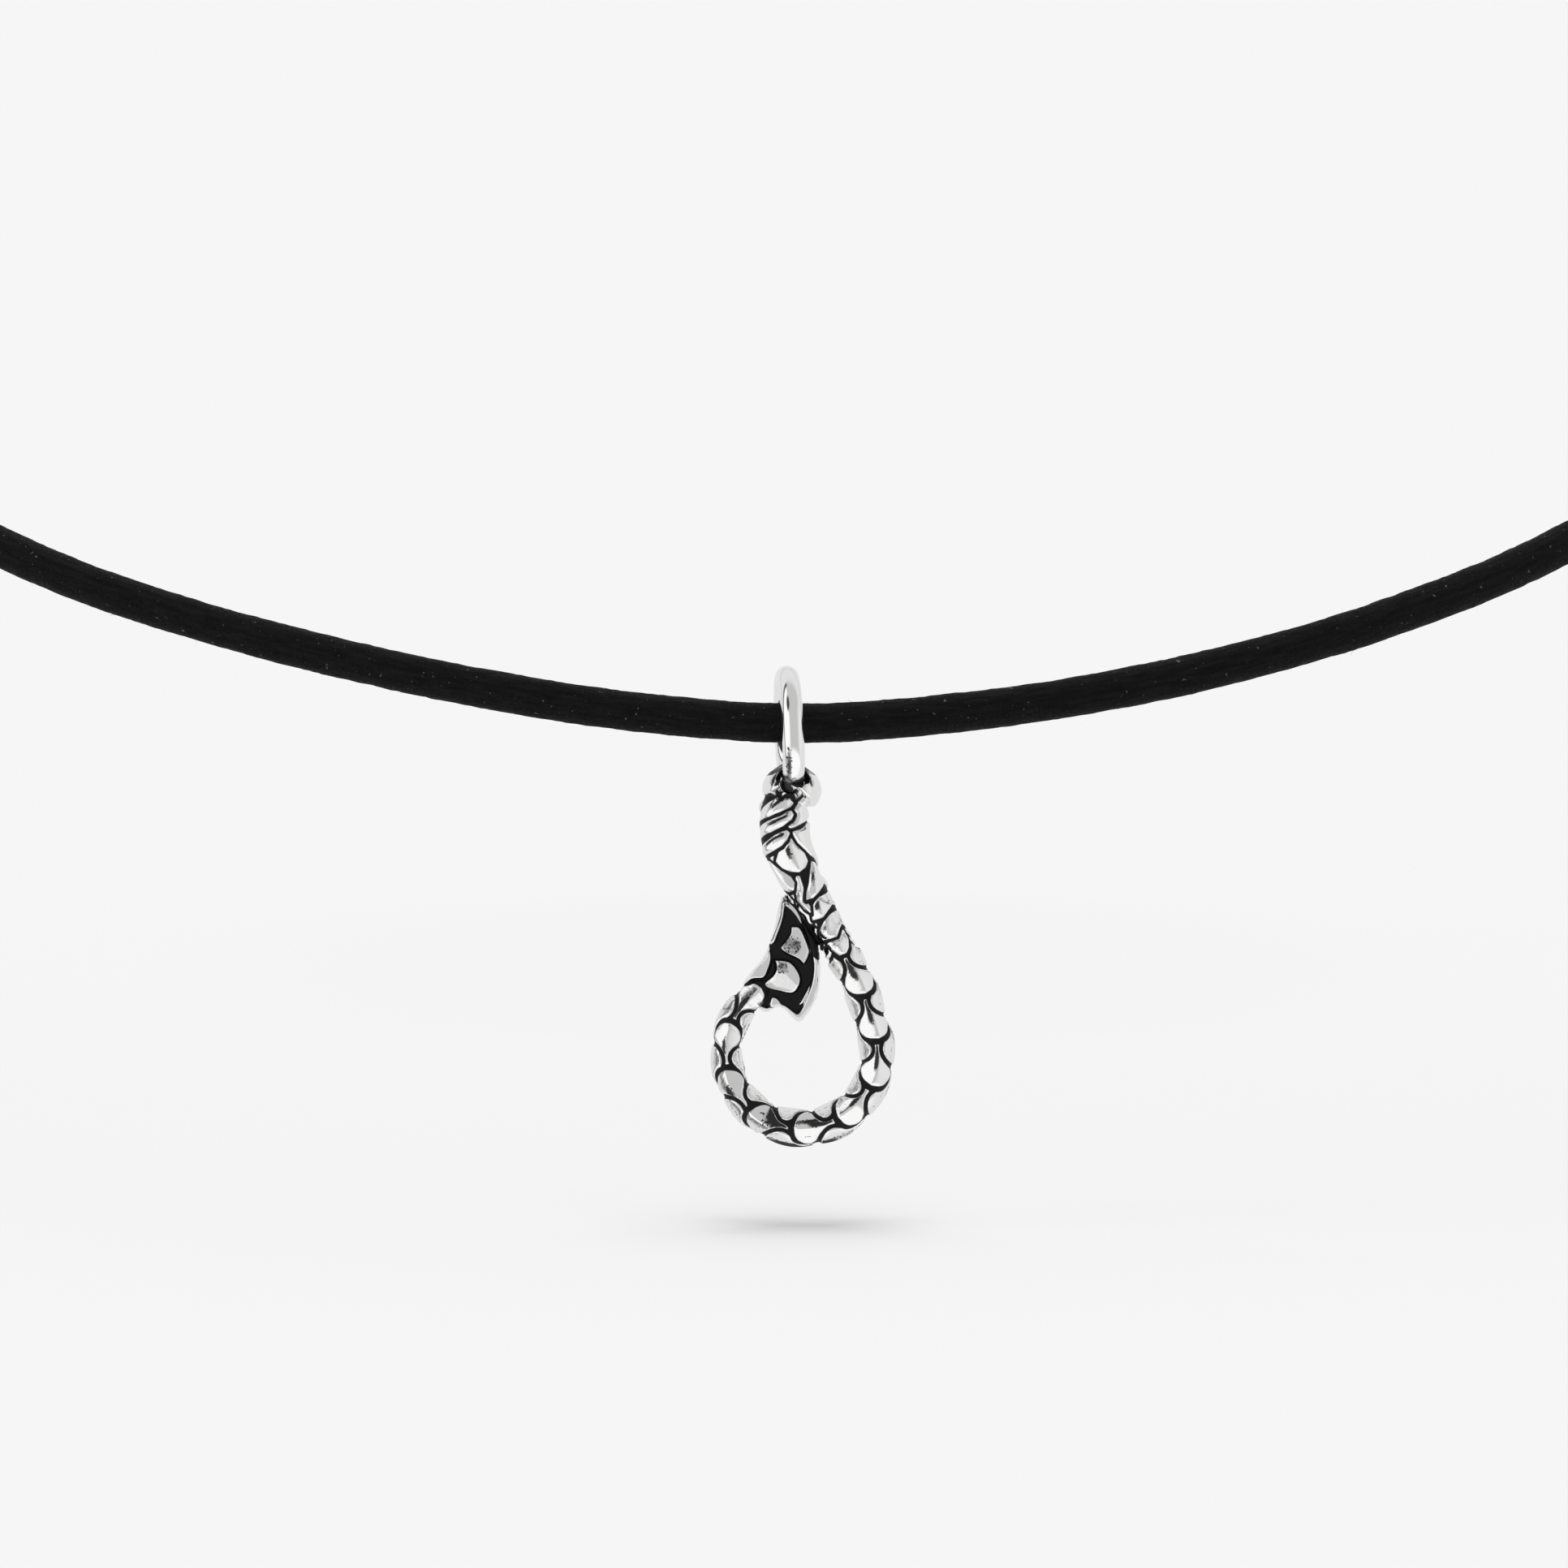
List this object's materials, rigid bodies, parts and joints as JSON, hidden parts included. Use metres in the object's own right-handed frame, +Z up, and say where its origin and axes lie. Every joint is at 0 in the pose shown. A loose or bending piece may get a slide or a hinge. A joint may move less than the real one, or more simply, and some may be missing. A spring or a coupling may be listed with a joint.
{
  "type": "scaled fish-hook pendant on a leather cord necklace",
  "caption": "Cast silver fish hook with a scaled mermaid's tail for its body and a fluke for its barb, on a jump ring over a round leather cord.",
  "frame": {"origin": "middle of the neck loop, where the wearer's neck is", "axes": "+Z up, front of the necklace and of the pendant towards -Y, the wearer's left towards +X"},
  "size_m": [0.1468, 0.126, 0.1096],
  "materials": {
    "oxidised_silver": "polished high places, blackened grooves",
    "polished_silver": "polished",
    "black_leather": "waxed, fine grain"
  },
  "bodies": {
    "necklace": {"cord": "black_leather", "clasp": "polished_silver"},
    "ring": {"bail_ring": "polished_silver"},
    "pendant": {"tail_hook": "oxidised_silver"}
  },
  "joints": [
    {"name": "ring_swing", "type": "hinge", "parent": "necklace", "child": "ring", "pos_m": [0, -0.05994, -0.04043], "axis": [1, 0, 0], "range_deg": [-90, 90]},
    {"name": "hook_swing", "type": "hinge", "parent": "ring", "child": "pendant", "pos_m": [0, -0.05994, -0.04451], "axis": [-0.0872, 0.9962, 0], "range_deg": [-30, 30]}
  ]
}
